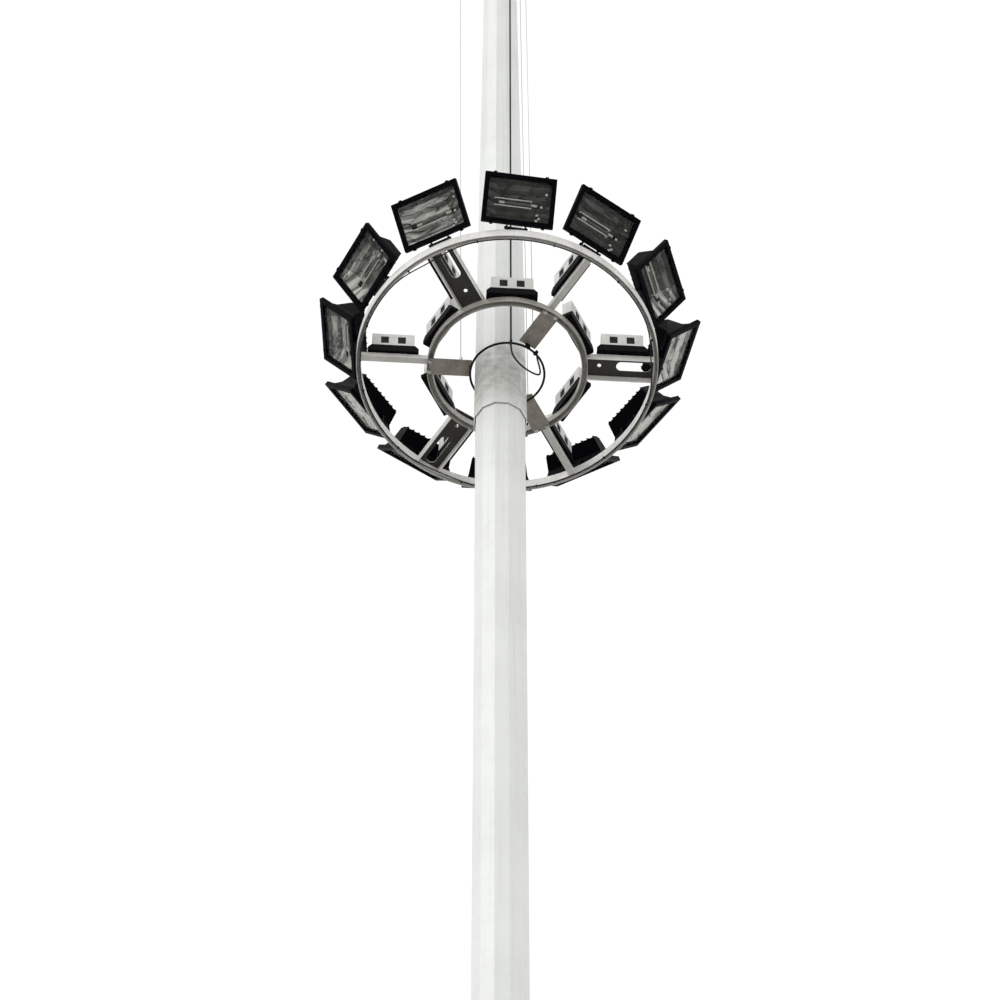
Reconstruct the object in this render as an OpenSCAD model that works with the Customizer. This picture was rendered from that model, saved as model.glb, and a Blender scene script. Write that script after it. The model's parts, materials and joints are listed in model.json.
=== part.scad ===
// High mast floodlight tower with a lantern carriage that is raised and lowered on ropes
// Millimetres, +Z up, origin at the centre of the underside of the base flange

/* [Mast] */
// Height of the shaft top above the ground
mast_h = 20000; // [18000:100:24000]
// Width across corners of the shaft at the base flange
base_d = 405; // [395:5:420]
// Width across corners of the upper shaft at its lower rim
upper_d = 416; // [400:2:430]
// Width across corners of the upper shaft at its top
top_d = 250; // [220:5:330]
// Height of the lower rim of the upper shaft
joint_z = 11110; // [9000:10:11300]
// Length over which the upper shaft is slipped on the lower one
joint_lap = 840; // [600:10:1000]
// Wall of the lower shaft
lower_wall = 8; // [5:0.5:12]
// Wall of the upper shaft
upper_wall = 6; // [4:0.5:8]

/* [Base] */
// Diameter of the base flange
flange_d = 680; // [640:5:760]
// Thickness of the base flange
flange_t = 32; // [20:1:50]
// Bolt circle of the base flange
bolt_pcd = 580; // [560:5:590]
// Diameter of the anchor holes
bolt_hole_d = 34; // [26:1:40]
// Number of anchor holes
bolt_n = 12; // [8:4:16]
// Height of the base gussets
gusset_h = 220; // [120:10:300]
// Thickness of the base gussets
gusset_t = 14; // [8:1:20]
// Height of the lower edge of the service cover
cover_z = 500; // [400:10:560]
// Height of the service cover
cover_h = 560; // [400:10:600]
// Width of the service cover
cover_w = 150; // [120:5:170]

/* [Head] */
// Radius at which the hoist ropes hang
rope_r = 360; // [350:5:380]
// Diameter of a hoist rope
rope_d = 6; // [6:1:12]
// Radius from a pulley centre to the rope centre
pulley_r = 120; // [90:5:130]
// Width of a pulley
pulley_w = 34; // [28:1:44]
// Radius of the head plate
head_r = 440; // [430:5:480]
// Thickness of the head plate
head_t = 12; // [8:1:20]
// Height of the straight wall of the rain hood
hood_h = 260; // [240:10:340]
// Rise of the cone of the rain hood
hood_rise = 200; // [150:10:260]
// Sheet thickness of the rain hood
hood_t = 4; // [2:0.5:6]

/* [Carriage] */
// Height of the middle of the outer ring as built
carriage_z = 12000; // [11800:10:12400]
// Sideways hang of the carriage off the mast axis
hang_x = 54; // [0:1:56]
// Mean radius of the outer ring
ring_r = 1153; // [1120:1:1180]
// Width of the outer ring channel
ring_w = 36; // [30:1:60]
// Height of the outer ring channel
ring_h = 90; // [80:1:110]
// Mean radius of the middle ring
mid_r = 600; // [580:1:620]
// Width of the middle ring channel
mid_w = 46; // [46:1:64]
// Height of the middle ring channel
mid_h = 64; // [46:1:64]
// Sheet thickness of the ring channels
ring_t = 5; // [3:0.5:8]
// Radius of the guide hoop
hoop_r = 287; // [280:1:300]
// Diameter of the guide hoop bar
hoop_d = 18; // [14:1:24]
// Drop of the guide hoop below the guide arms
hoop_drop = 57; // [50:1:90]
// Width of a channel spoke
channel_w = 200; // [160:5:220]
// Height of a channel spoke
channel_h = 70; // [64:1:80]
// Sheet thickness of a channel spoke
channel_t = 6; // [4:0.5:8]
// Length of the slot in a channel spoke
slot_l = 270; // [200:5:290]
// Width of the slot in a channel spoke
slot_w = 80; // [60:2:100]
// Side of a square tube spoke
tube_w = 50; // [44:1:60]
// Wall of a square tube spoke
tube_t = 5; // [3:0.5:8]
// Width of a guide arm
arm_w = 145; // [120:1:160]
// Thickness of a guide arm
arm_t = 10; // [6:1:14]

/* [Control gear] */
// Distance from the tilt pivots in to the gear trays
gear_gap = 57; // [50:1:80]
// Length of a gear tray
tray_l = 396; // [360:2:410]
// Width of a gear tray
tray_w = 100; // [84:2:106]
// Height of a gear tray
tray_h = 84; // [70:1:100]
// Length of the chamfer at the ends of a gear tray
tray_cut = 28; // [10:1:32]
// Length of a gear box
box_l = 330; // [300:2:338]
// Width of a gear box
box_w = 84; // [70:2:90]
// Height of a gear box
box_h = 170; // [140:2:190]
// Width of the recesses in a gear box
recess_w = 62; // [40:1:70]
// Height of the recesses in a gear box
recess_h = 95; // [60:1:120]
// Depth of the recesses in a gear box
recess_t = 12; // [6:1:20]

/* [Floodlights] */
// Radius of the tilt pivots
pivot_r = 1142; // [1138:1:1147]
// Height of the tilt pivots above the outer ring top
pivot_h = 60; // [58:1:70]
// Distance from the pivots up to the middle of the front frame
hinge_u = 218; // [214:1:224]
// Tilt of the floodlights below the horizontal
tilt = 38; // [34:1:46]
// Aim of each floodlight about its stirrup bolt, from floodlight 1 on
aim = [12, 4, 0, 0, 0, -8, -6, -5, 0, 5, 3, 11]; // [-12:1:12]
// Width of the front frame
face_w = 556; // [500:2:564]
// Height of the front frame
face_h = 408; // [380:2:412]
// Thickness of the front frame
frame_t = 35; // [28:1:40]
// Width of the border of the front frame
frame_w = 36; // [30:1:44]
// Distance from the pivots to the front of the frame
face_x = 60; // [54:1:64]
// Wall of the cast housing
cast_t = 4; // [3:0.5:6]
// Thickness of the front glass
glass_t = 5; // [4:0.5:8]
// Depth of the rebate between frame front and glass
lip_t = 12; // [8:1:16]
// Width of the rear housing at its front
rear_w = 460; // [430:2:466]
// Height of the rear housing at its front
rear_h = 210; // [180:2:230]
// Width of the rear housing at its back
back_w = 420; // [380:2:430]
// Height of the rear housing at its back
back_h = 158; // [120:2:180]
// Depth of the bowl behind the front frame
bowl_x = 60; // [50:1:66]
// Depth of the rear housing behind the bowl
rear_x = 125; // [100:1:128]
// Number of cooling ribs on the back of a housing
rib_n = 9; // [7:1:13]
// Thickness of a cooling rib
rib_t = 5; // [3:0.5:8]
// Depth of a cooling rib
rib_x = 12; // [8:1:14]
// Diameter of the lamp tube
lamp_d = 22; // [16:1:28]
// Length of the lamp tube
lamp_l = 300; // [260:2:330]
// Diameter of the pivot bolts
pin_d = 12; // [8:1:16]
// Gap between a hinge ear and its stirrup
ear_gap = 0.5; // [0.3:0.1:1]
// Thickness of a hinge ear
ear_t = 8; // [6:1:10]
// Thickness of the stirrup bar
stirrup_t = 6; // [5:0.5:8]
// Width of the stirrup bar
stirrup_w = 34; // [28:1:36]
// Inner width of the stirrup
stirrup_in = 152; // [140:1:200]
// Overhang of a stirrup's foot beyond the outer ring
foot_out = 16; // [8:1:20]

/* [Supply cable] */
// Diameter of the supply cable
cable_d = 14; // [10:1:18]
// Angle of the supply cable about the mast
cable_a = -88; // [-95:1:-80]
// Angle of the far end of the cable loop
loop_a = -45; // [-46:1:-40]
// Depth of the cable loop below the guide hoop
loop_drop = 380; // [250:5:520]
// Outward swing of the cable loop
loop_out = 30; // [0:5:140]

/* [Hidden] */
fit = 0.3;
groove = 1.2;
big = 48;
n_flood = 12;
c15 = cos(15);
upper_slope = (upper_d - top_d) / (mast_h - joint_z);
lap_z = joint_z + joint_lap;
lap_d = upper_d - upper_slope * joint_lap - 2 * upper_wall / c15 - 2 * fit;
ring_in = ring_r - ring_w / 2;
ring_top = ring_h / 2;
chan_bot = -ring_top;
chan_top = chan_bot + channel_h;
mid_top = chan_bot;
mid_bot = mid_top - mid_h;
tube_top = chan_bot + tube_w;
arm_bot = mid_bot - arm_t;
hoop_z = arm_bot - hoop_drop;
head_top = mast_h + head_t;
pulley_c = rope_r - pulley_r;
pulley_z = head_top + pulley_r + 40;
cheek_gap = pulley_w / 2 + 4;
cheek_t = 8;
socket_h = 90;
lug_h = 46;
lug_w = 60;
rope_z0 = mid_bot + lug_h + socket_h + fit;
cable_r = hoop_r + hoop_d / 2 + cable_d / 2 + 2;
clamp_h = 30;
spoke_in = mid_r - mid_w / 2 + 5;
slot_x = ring_in - mid_r - slot_l;
gear_r = min(ring_r, pivot_r) - gear_gap - tray_l / 2;
tray_off = (slot_w + tray_w) / 2;
pivot_z = ring_top + pivot_h;
frame_x = face_x - frame_t;
neck_x = frame_x - bowl_x;
pane_w = face_w - 2 * frame_w + 10;
pane_h = face_h - 2 * frame_w + 10;
arm_y = stirrup_in / 2;
ear_y = arm_y - ear_gap - ear_t / 2;
holder_in = lamp_l / 2 + fit;
holder_out = rear_w / 2 - cast_t;

// Place children at an angle and radius about the mast
module polar(a, r = 0, z = 0) rotate([0, 0, a]) translate([r, 0, z]) children();

// Lift children to the carriage
module on_carriage() translate([hang_x, 0, carriage_z]) children();

// Round bar between two points
module bar(p, q, d) translate(p)
  rotate([0, acos((q - p)[2] / norm(q - p)), atan2((q - p)[1], (q - p)[0])])
    cylinder(d = d, h = norm(q - p), $fn = 24);

// Tapered solid with twelve flats, one of them facing the front
module taper(d1, d2, z1, z2)
  translate([0, 0, z1]) rotate([0, 0, 15]) cylinder(d1 = d1, d2 = d2, h = z2 - z1, $fn = 12);

// Width across corners of the upper shaft at a height
function upper_at(z) = upper_d - upper_slope * (z - joint_z);

// Width across corners of the lower shaft at a height
function lower_at(z) = base_d + (lap_d - base_d) * (z - flange_t) / (lap_z - flange_t);

// Flange plate with its ring of anchor holes
module base_flange() color("silver") difference() {
  cylinder(d = flange_d, h = flange_t, $fn = big);
  translate([0, 0, -1]) cylinder(d = base_d * 0.6, h = flange_t + 2, $fn = big);
  for (i = [0 : bolt_n - 1])
    polar(i * 360 / bolt_n, bolt_pcd / 2, -1) cylinder(d = bolt_hole_d, h = flange_t + 2, $fn = 24);
}

// Triangular stiffeners between flange and shaft
module base_gussets() color("silver") difference() {
  for (i = [0 : bolt_n - 1])
    polar((i + 0.5) * 360 / bolt_n) translate([0, gusset_t / 2, flange_t]) rotate([90, 0, 0])
      linear_extrude(gusset_t) polygon([[0, 0], [flange_d / 2 - 10, 0], [flange_d / 2 - 10, 20],
        [base_d / 2, gusset_h], [0, gusset_h]]);
  taper(base_d + 2 * fit, lower_at(2 * gusset_h) + 2 * fit, flange_t - 1, flange_t + 2 * gusset_h);
}

// Lower tapered tube of the shaft
module lower_shaft() color("gainsboro") difference() {
  taper(base_d, lap_d, flange_t, lap_z);
  taper(base_d - 2 * lower_wall / c15, lap_d - 2 * lower_wall / c15, flange_t - 0.01, lap_z + 0.01);
}

// Cover plate over the winch opening near the ground
module service_cover() color("silver") intersection() {
  translate([-cover_w / 2, -base_d, cover_z]) cube([cover_w, base_d, cover_h]);
  difference() {
    taper(lower_at(cover_z) + 44, lower_at(cover_z + cover_h) + 44, cover_z - 20, cover_z + cover_h + 20);
    taper(base_d + 2 * fit, lap_d + 2 * fit, flange_t, lap_z);
  }
}

// Upper tapered tube slipped over the lower one
module upper_shaft() color("gainsboro") difference() {
  taper(upper_d, top_d, joint_z, mast_h);
  taper(upper_d - 2 * upper_wall / c15, top_d - 2 * upper_wall / c15, joint_z - 0.01, mast_h + 0.01);
}

// Head plate with the pulley cheeks
module head_frame() color("gray") {
  difference() {
    translate([0, 0, mast_h]) cylinder(r = head_r, h = head_t, $fn = big);
    translate([0, 0, mast_h - 1]) cylinder(d = top_d * 0.6, h = head_t + 2, $fn = big);
    for (a = [60, 180, 300]) polar(a, rope_r, mast_h - 1) cylinder(d = rope_d + 16, h = head_t + 2, $fn = 24);
  }
  for (a = [60, 180, 300]) polar(a, pulley_c, head_top) for (s = [-1, 1]) difference() {
    translate([0, s * (cheek_gap + cheek_t / 2), 0]) rotate([90, 0, 0]) linear_extrude(cheek_t, center = true)
      polygon([[-70, 0], [70, 0], [34, pulley_z - head_top + 34], [-34, pulley_z - head_top + 34]]);
    translate([0, 0, pulley_z - head_top]) rotate([90, 0, 0])
      cylinder(d = 24 + 2 * fit, h = 200, center = true, $fn = 24);
  }
}

// Grooved rope pulleys on their axles
module head_pulleys() color("dimgray") for (a = [60, 180, 300])
  polar(a, pulley_c, pulley_z) rotate([90, 0, 0]) {
    rotate_extrude($fn = big) difference() {
      translate([0, -pulley_w / 2]) square([pulley_r + 8, pulley_w]);
      translate([pulley_r, 0]) circle(d = rope_d + 2 * groove, $fn = 24);
      translate([pulley_r, -rope_d / 2 - groove]) square([20, rope_d + 2 * groove]);
    }
    cylinder(d = 24, h = 2 * (cheek_gap + cheek_t) + 12, center = true, $fn = 24);
  }

// Rain hood over the pulleys
module head_hood() color("lightgray") translate([0, 0, head_top]) rotate_extrude($fn = big)
  polygon([[head_r - 10 - hood_t, 0], [head_r - 10, 0], [head_r - 10, hood_h], [0, hood_h + hood_rise],
    [0, hood_h + hood_rise - hood_t * 1.2], [head_r - 10 - hood_t, hood_h - hood_t * 0.4]]);

// Three ropes that carry the carriage
module hoist_ropes() color("dimgray") for (a = [60, 180, 300])
  bar([hang_x + rope_r * cos(a), rope_r * sin(a), carriage_z + rope_z0],
    [rope_r * cos(a), rope_r * sin(a), pulley_z], rope_d);

// Straight run of the supply cable down to the carriage
module supply_cable() color("black") on_carriage() polar(cable_a, cable_r, hoop_z + clamp_h / 2 + fit)
  cylinder(d = cable_d, h = mast_h - carriage_z - hoop_z - clamp_h / 2 - fit, $fn = 24);

// Rolled ring with a downward open section
module ring_channel(r, w, h, top) rotate_extrude($fn = 96) translate([r - w / 2, top - h]) difference() {
  square([w, h]);
  translate([ring_t, -1]) square([w - 2 * ring_t, h - ring_t + 1]);
}

module outer_ring() color("gainsboro") on_carriage() ring_channel(ring_r, ring_w, ring_h, ring_top);

module mid_ring() color("gainsboro") on_carriage() ring_channel(mid_r, mid_w, mid_h, mid_top);

// Cut children to end just inside the outer ring
module trim_to_ring() intersection() {
  children();
  translate([0, 0, chan_bot - 1]) cylinder(r = ring_in - fit, h = channel_h + 2, $fn = 720);
}

// Wide slotted spokes with a downward open section
module channel_spokes() color("gainsboro") on_carriage() for (a = [0, 120, 240]) trim_to_ring()
  polar(a, spoke_in, chan_bot) difference() {
    translate([0, -channel_w / 2, 0]) cube([ring_r - spoke_in, channel_w, channel_h]);
    translate([-1, -channel_w / 2 + channel_t, -1])
      cube([ring_r, channel_w - 2 * channel_t, channel_h - channel_t + 1]);
    translate([slot_x + slot_w / 2, -slot_w / 2, 0]) cube([slot_l - slot_w, slot_w, channel_h + 1]);
    for (x = [slot_x + slot_w / 2, slot_x + slot_l - slot_w / 2])
      translate([x, 0, 0]) cylinder(d = slot_w, h = channel_h + 1, $fn = 32);
    translate([slot_x / 2, 0, 0]) cylinder(d = 30, h = channel_h + 1, $fn = 24);
  }

// Narrow square tube spokes
module tube_spokes() color("gainsboro") on_carriage() for (a = [60, 180, 300]) trim_to_ring()
  polar(a, spoke_in, chan_bot) difference() {
    translate([0, -tube_w / 2, 0]) cube([ring_r - spoke_in, tube_w, tube_w]);
    translate([-1, -tube_w / 2 + tube_t, tube_t]) cube([ring_r, tube_w - 2 * tube_t, tube_w - 2 * tube_t]);
  }

// Flat arms under the middle ring that carry the guide hoop
module guide_arms() color("gray") on_carriage() for (a = [60, 180, 300])
  polar(a, hoop_r - 10, arm_bot) translate([0, -arm_w / 2, 0])
    cube([mid_r + mid_w / 2 - hoop_r - 5, arm_w, arm_t]);

// Round hoop about the mast with its hangers and cable clamps
module guide_hoop() color("black") on_carriage() {
  translate([0, 0, hoop_z]) rotate_extrude($fn = 96) translate([hoop_r, 0]) circle(d = hoop_d, $fn = 24);
  for (a = [60, 180, 300]) polar(a, hoop_r, hoop_z)
    translate([-6, -20, 0]) cube([12, 40, hoop_drop]);
  for (a = [cable_a, loop_a]) polar(a, hoop_r, hoop_z)
    translate([-hoop_d / 2 - 3, -9, -clamp_h / 2]) cube([cable_r - hoop_r + cable_d + 6, 18, clamp_h]);
}

// Eye plates and rope sockets on the guide arms
module rope_lugs() color("silver") on_carriage() for (a = [60, 180, 300]) polar(a, rope_r, mid_bot) {
  translate([-lug_w / 2, -7, 0]) cube([lug_w, 14, lug_h]);
  translate([0, 0, lug_h]) cylinder(d = 26, h = socket_h, $fn = 24);
}

// Places of the control gear: beside the slots, on the tubes and on the middle ring between them
module gear_places() on_carriage() {
  for (a = [0, 120, 240]) polar(a, gear_r, chan_top) translate([0, -tray_off, 0]) children();
  for (a = [60, 180, 300]) polar(a, gear_r, tube_top) children();
  for (a = [30 : 60 : 330]) polar(a, mid_r, mid_top) rotate([0, 0, 90]) children();
}

// Trays with chamfered ends
module gear_trays() color("black") gear_places() rotate([90, 0, 0])
  linear_extrude(tray_w, center = true) polygon([[-tray_l / 2, 0], [tray_l / 2, 0],
    [tray_l / 2, tray_h / 2], [tray_l / 2 - tray_cut, tray_h], [-tray_l / 2 + tray_cut, tray_h],
    [-tray_l / 2, tray_h / 2]]);

// Boxes with two recesses on each long side
module gear_boxes() color("whitesmoke") gear_places() translate([0, 0, tray_h]) difference() {
  translate([-box_l / 2, -box_w / 2, 0]) cube([box_l, box_w, box_h]);
  for (sx = [-1, 1], sy = [-1, 1])
    translate([sx * box_l / 5 - recess_w / 2, sy * box_w / 2 - recess_t, (box_h - recess_h) / 2])
      cube([recess_w, 2 * recess_t, recess_h]);
}

// Put children on the stirrup bolt of the floodlight with a number from 1, turned to its aim
module aimed(i) on_carriage() polar((i - 1) * 30, ring_r) rotate([0, 0, aim[i - 1]]) children();

// U-shaped stirrups that carry the floodlights
module stirrups() color("black") for (i = [1 : n_flood]) aimed(i) translate([-ring_r, 0, ring_top]) {
  translate([ring_r - stirrup_w / 2, -arm_y - stirrup_t, 0])
    cube([(stirrup_w + ring_w) / 2 + foot_out, 2 * (arm_y + stirrup_t), stirrup_t]);
  for (s = [-1, 1]) difference() {
    translate([0, s * (arm_y + stirrup_t / 2), 0]) rotate([90, 0, 0])
      linear_extrude(stirrup_t, center = true) {
        polygon([[ring_r - stirrup_w / 2, 0], [ring_r + stirrup_w / 2, 0],
          [pivot_r + stirrup_w / 2, pivot_h], [pivot_r - stirrup_w / 2, pivot_h]]);
        translate([pivot_r, pivot_h]) circle(d = stirrup_w, $fn = 32);
      }
    translate([pivot_r, 0, pivot_h]) rotate([90, 0, 0])
      cylinder(d = pin_d + 2 * fit, h = 2 * face_w, center = true, $fn = 24);
  }
}

// Put children on the pivots of the floodlight with a number from 1
module on_flood(i) aimed(i) translate([pivot_r - ring_r, 0, pivot_z]) rotate([0, tilt, 0]) children();

// Closed form through rectangular sections given as [x, width, height], front to back
module loft(sec) {
  n = len(sec) - 1;
  polyhedron([for (e = sec, c = [[-1, -1], [1, -1], [1, 1], [-1, 1]])
      [e[0], c[0] * e[1] / 2, c[1] * e[2] / 2]],
    concat([[0, 3, 2, 1], [for (j = [0 : 3]) 4 * n + j]],
      [for (k = [0 : n - 1], j = [0 : 3]) let (m = (j + 1) % 4)
        [4 * k + j, 4 * k + m, 4 * k + 4 + m, 4 * k + 4 + j]]));
}

// Bowl and rear box of a housing, grown by a wall
module housing_form(g, front) translate([0, 0, hinge_u]) loft([
  [front, pane_w + 2 * g, pane_h + 2 * g],
  [frame_x, pane_w + 2 * g, pane_h + 2 * g],
  [neck_x - g / 2, rear_w - 2 * cast_t + 2 * g, rear_h - 2 * cast_t + 2 * g],
  [neck_x - rear_x + cast_t - g, back_w - 2 * cast_t + 2 * g, back_h - 2 * cast_t + 2 * g]]);

// Cast housing with front frame, cooling ribs, clips, hinge ears, pivot bolts and lamp holders
module housing(i) color("black") on_flood(i) {
  difference() {
    union() {
      housing_form(cast_t, frame_x + 5);
      translate([frame_x, -face_w / 2, hinge_u - face_h / 2]) cube([frame_t, face_w, face_h]);
      for (k = [0 : rib_n - 1])
        translate([neck_x - rear_x - rib_x, (k / (rib_n - 1) - 0.5) * (back_w - 4 * rib_t), hinge_u])
          translate([0, -rib_t / 2, rib_t - back_h / 2])
            cube([rib_x + cast_t / 2, rib_t, back_h - 2 * rib_t]);
      for (s = [-1, 1]) translate([0, s * ear_y, 0]) rotate([90, 0, 0]) linear_extrude(ear_t, center = true) {
        circle(d = 30, $fn = 24);
        polygon([[-14, 0], [14, 0], [frame_x - 3, hinge_u - pane_h / 2 + 20],
          [neck_x + 15, hinge_u - rear_h / 2]]);
      }
    }
    housing_form(0, face_x - lip_t);
    translate([face_x - lip_t - 1, -face_w / 2 + frame_w, hinge_u - face_h / 2 + frame_w])
      cube([lip_t + 2, face_w - 2 * frame_w, face_h - 2 * frame_w]);
  }
  for (s = [-1, 1]) {
    rotate([90, 0, 0]) translate([0, 0, s * (arm_y + stirrup_t / 2)])
      cylinder(d = pin_d, h = stirrup_t + ear_t + 4 * ear_gap, center = true, $fn = 24);
    rotate([90, 0, 0]) translate([0, 0, s * (arm_y + stirrup_t + ear_gap + 4)])
      cylinder(d = 2 * pin_d, h = 8, center = true, $fn = 24);
    translate([neck_x - 17, s * (holder_in + holder_out) / 2 - (holder_out - holder_in) / 2, hinge_u - 16])
      cube([26, holder_out - holder_in, 32]);
    for (t = [-1, 1]) translate([frame_x + 6, s * face_w * 0.36 - 12, hinge_u + t * (face_h / 2 + 4) - 8])
      cube([frame_t - 12, 24, 16]);
  }
}

// Front glass and lamp tube
module lens(i) color("lightblue") on_flood(i) {
  translate([face_x - lip_t - glass_t, -pane_w / 2 + fit, hinge_u - pane_h / 2 + fit])
    cube([glass_t, pane_w - 2 * fit, pane_h - 2 * fit]);
  translate([neck_x, 0, hinge_u]) rotate([90, 0, 0])
    cylinder(d = lamp_d, h = lamp_l, center = true, $fn = 24);
}

// Route of the loop from clamp to clamp: shares of the turn between them, of the swing and of the depth
loop_route = [[0, 0, 0], [0, 0, 0.15], [0.01, 0, 0.29], [0.04, 0, 0.43], [0.1, 0.05, 0.56], [0.18, 0.1, 0.68],
  [0.28, 0.2, 0.79], [0.39, 0.3, 0.88], [0.51, 0.45, 0.95], [0.64, 0.6, 0.99], [0.76, 0.75, 1],
  [0.86, 0.88, 0.985], [0.94, 0.97, 0.945], [0.99, 1, 0.885], [1.01, 1, 0.8], [1.015, 0.9, 0.68],
  [1.01, 0.7, 0.55], [1.005, 0.45, 0.41], [1, 0.2, 0.27], [1, 0, 0.13], [1, 0, 0]];
loop_n = len(loop_route) - 1;
function loop_pt(s) = let (a = cable_a + (loop_a - cable_a) * s[0], r = cable_r + loop_out * s[1])
  [hang_x + r * cos(a), r * sin(a), carriage_z + hoop_z - clamp_h / 2 - loop_drop * s[2]];
function unit(v) = v / norm(v);
loop_p = [for (s = loop_route) loop_pt(s)];
function tangent(k) = k == 0 || k == loop_n ? [0, 0, k == 0 ? -1 : 1] : unit(loop_p[k + 1] - loop_p[k - 1]);
loop_side = [cos((cable_a + loop_a) / 2), sin((cable_a + loop_a) / 2), 0];

// Sagging loop between the two cable clamps
module cable_loop() color("black") {
  pts = [for (k = [0 : loop_n])
    let (t = tangent(k), u = unit(loop_side - t * (loop_side * t)), v = cross(t, u))
    for (j = [0 : 7]) loop_p[k] + cable_d / 2 * (u * cos(45 * j) + v * sin(45 * j))];
  sides = [for (k = [0 : loop_n - 1], j = [0 : 7])
    [k * 8 + j, k * 8 + (j + 1) % 8, k * 8 + 8 + (j + 1) % 8, k * 8 + 8 + j]];
  ends = [[for (j = [7 : -1 : 0]) j], [for (j = [0 : 7]) loop_n * 8 + j]];
  polyhedron(pts, concat(sides, ends));
}

base_flange();
base_gussets();
lower_shaft();
service_cover();
upper_shaft();
head_frame();
head_pulleys();
head_hood();
hoist_ropes();
supply_cable();
outer_ring();
mid_ring();
channel_spokes();
tube_spokes();
guide_arms();
guide_hoop();
rope_lugs();
gear_trays();
gear_boxes();
stirrups();
cable_loop();
housing(1);  // housing_01
housing(2);  // housing_02
housing(3);  // housing_03
housing(4);  // housing_04
housing(5);  // housing_05
housing(6);  // housing_06
housing(7);  // housing_07
housing(8);  // housing_08
housing(9);  // housing_09
housing(10);  // housing_10
housing(11);  // housing_11
housing(12);  // housing_12
lens(1);  // lens_01
lens(2);  // lens_02
lens(3);  // lens_03
lens(4);  // lens_04
lens(5);  // lens_05
lens(6);  // lens_06
lens(7);  // lens_07
lens(8);  // lens_08
lens(9);  // lens_09
lens(10);  // lens_10
lens(11);  // lens_11
lens(12);  // lens_12
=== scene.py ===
"""Looks of a high mast floodlight tower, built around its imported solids."""

from __future__ import annotations

import json
import logging
import math
from dataclasses import dataclass, replace
from enum import Enum
from itertools import product
from typing import Any, Iterable, Sequence

import bmesh
import bpy
from bmesh.types import BMesh, BMFace, BMVert
from bpy.types import Material, Node, NodeSocket, NodeTree, Object
from mathutils import Matrix, Vector


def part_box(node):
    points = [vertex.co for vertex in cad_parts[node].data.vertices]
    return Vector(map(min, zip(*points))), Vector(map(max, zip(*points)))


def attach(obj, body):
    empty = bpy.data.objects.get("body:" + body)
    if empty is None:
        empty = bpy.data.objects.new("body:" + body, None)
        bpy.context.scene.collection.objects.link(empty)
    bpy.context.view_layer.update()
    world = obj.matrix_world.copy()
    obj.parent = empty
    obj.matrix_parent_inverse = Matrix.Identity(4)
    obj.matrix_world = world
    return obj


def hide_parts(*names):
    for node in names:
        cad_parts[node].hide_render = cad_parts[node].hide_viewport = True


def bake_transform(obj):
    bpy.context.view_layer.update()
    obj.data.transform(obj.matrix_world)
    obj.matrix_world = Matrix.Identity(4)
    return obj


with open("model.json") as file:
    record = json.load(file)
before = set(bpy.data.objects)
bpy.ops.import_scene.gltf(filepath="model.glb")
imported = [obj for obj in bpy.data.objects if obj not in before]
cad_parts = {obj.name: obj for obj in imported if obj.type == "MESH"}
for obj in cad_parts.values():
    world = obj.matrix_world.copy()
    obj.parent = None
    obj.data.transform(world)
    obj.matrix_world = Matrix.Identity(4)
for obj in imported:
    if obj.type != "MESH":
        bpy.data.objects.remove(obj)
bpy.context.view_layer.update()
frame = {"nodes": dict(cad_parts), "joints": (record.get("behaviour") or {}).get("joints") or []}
LOG = logging.getLogger("tower")
MM = 0.001
# Blender's wave texture repeats about every 0.314 at a scale of one
WAVE_SCALE = 0.314
# Stretches of a noise, whose values lie about a half, over which each mark sets in
MOTTLED = {"From Min": 0.35, "From Max": 0.7}
STREAKED = {"From Min": 0.52, "From Max": 0.78}
GRIMED = {"From Min": 0.5, "From Max": 0.75}
WORN = {"From Min": 0.3, "From Max": 0.75}
DUSTED = {"From Min": 0.3, "From Max": 0.6}
STAINED = {"From Min": 0.35, "From Max": 0.65}
DRAWN = {"From Min": 0.3, "From Max": 0.7}
# The glints that this sets in are painted highlights
GLINTING = {"From Min": 0.66, "From Max": 0.76}
# Heights of a face's normal over which it counts as looking down or up
LOOKS_DOWN = {"From Min": -0.2, "From Max": -0.9}
LOOKS_UP = {"From Min": 0.05, "From Max": 0.8}
# Corners that touch within this many metres are one, and edges sharper than this angle are rounded
WELD_GAP = 0.00002
SHARP = math.radians(50)
# Rounding of the edges of small plates and panes, in metres
SOFT_EDGE = 0.001
# Turns that lay a bar, which is made along Z, along X or Y or point it down
ALONG_X = Matrix.Rotation(math.pi / 2, 4, "Y")
ALONG_Y = Matrix.Rotation(math.pi / 2, 4, "X")
FLIPPED = Matrix.Rotation(math.pi, 4, "X")
SIDES = (-1, 1)
# Directions of the guide arms in degrees, and radii and thickness in metres, that several classes share
ARM_ANGLES = (60, 180, 300)
ROPE_RADIUS = 0.360
MID_RADIUS = 0.600
CABLE_THICK = 0.014


@dataclass(frozen=True)
class Extent:
    """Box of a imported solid, in metres."""

    low: Vector
    high: Vector

    @staticmethod
    def of(node: str) -> Extent:
        """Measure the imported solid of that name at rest."""
        return Extent(*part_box(node))

    @property
    def middle(self) -> Vector:
        """Centre of the box."""
        return (self.low + self.high) / 2

    @property
    def size(self) -> Vector:
        """Sides of the box."""
        return self.high - self.low


RING = Extent.of("outer_ring")


class Body(str, Enum):
    """The rigid bodies that a piece can ride on."""

    MAST = "mast"
    CARRIAGE = "carriage"

    @staticmethod
    def floodlight(number: int) -> str:
        """Name of the body of the floodlight with that number, from 1."""
        return f"floodlight_{number:02d}"


def linear(code: str) -> tuple[float, float, float, float]:
    """Turn an sRGB hex colour into linear light.

    Args:
        code: six hex digits.

    Returns:
        Red, green, blue and an alpha of one.
    """
    parts = [int(code[i : i + 2], 16) / 255 for i in (0, 2, 4)]
    r, g, b = (c / 12.92 if c <= 0.04045 else ((c + 0.055) / 1.055) ** 2.4 for c in parts)
    return (r, g, b, 1.0)


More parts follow.
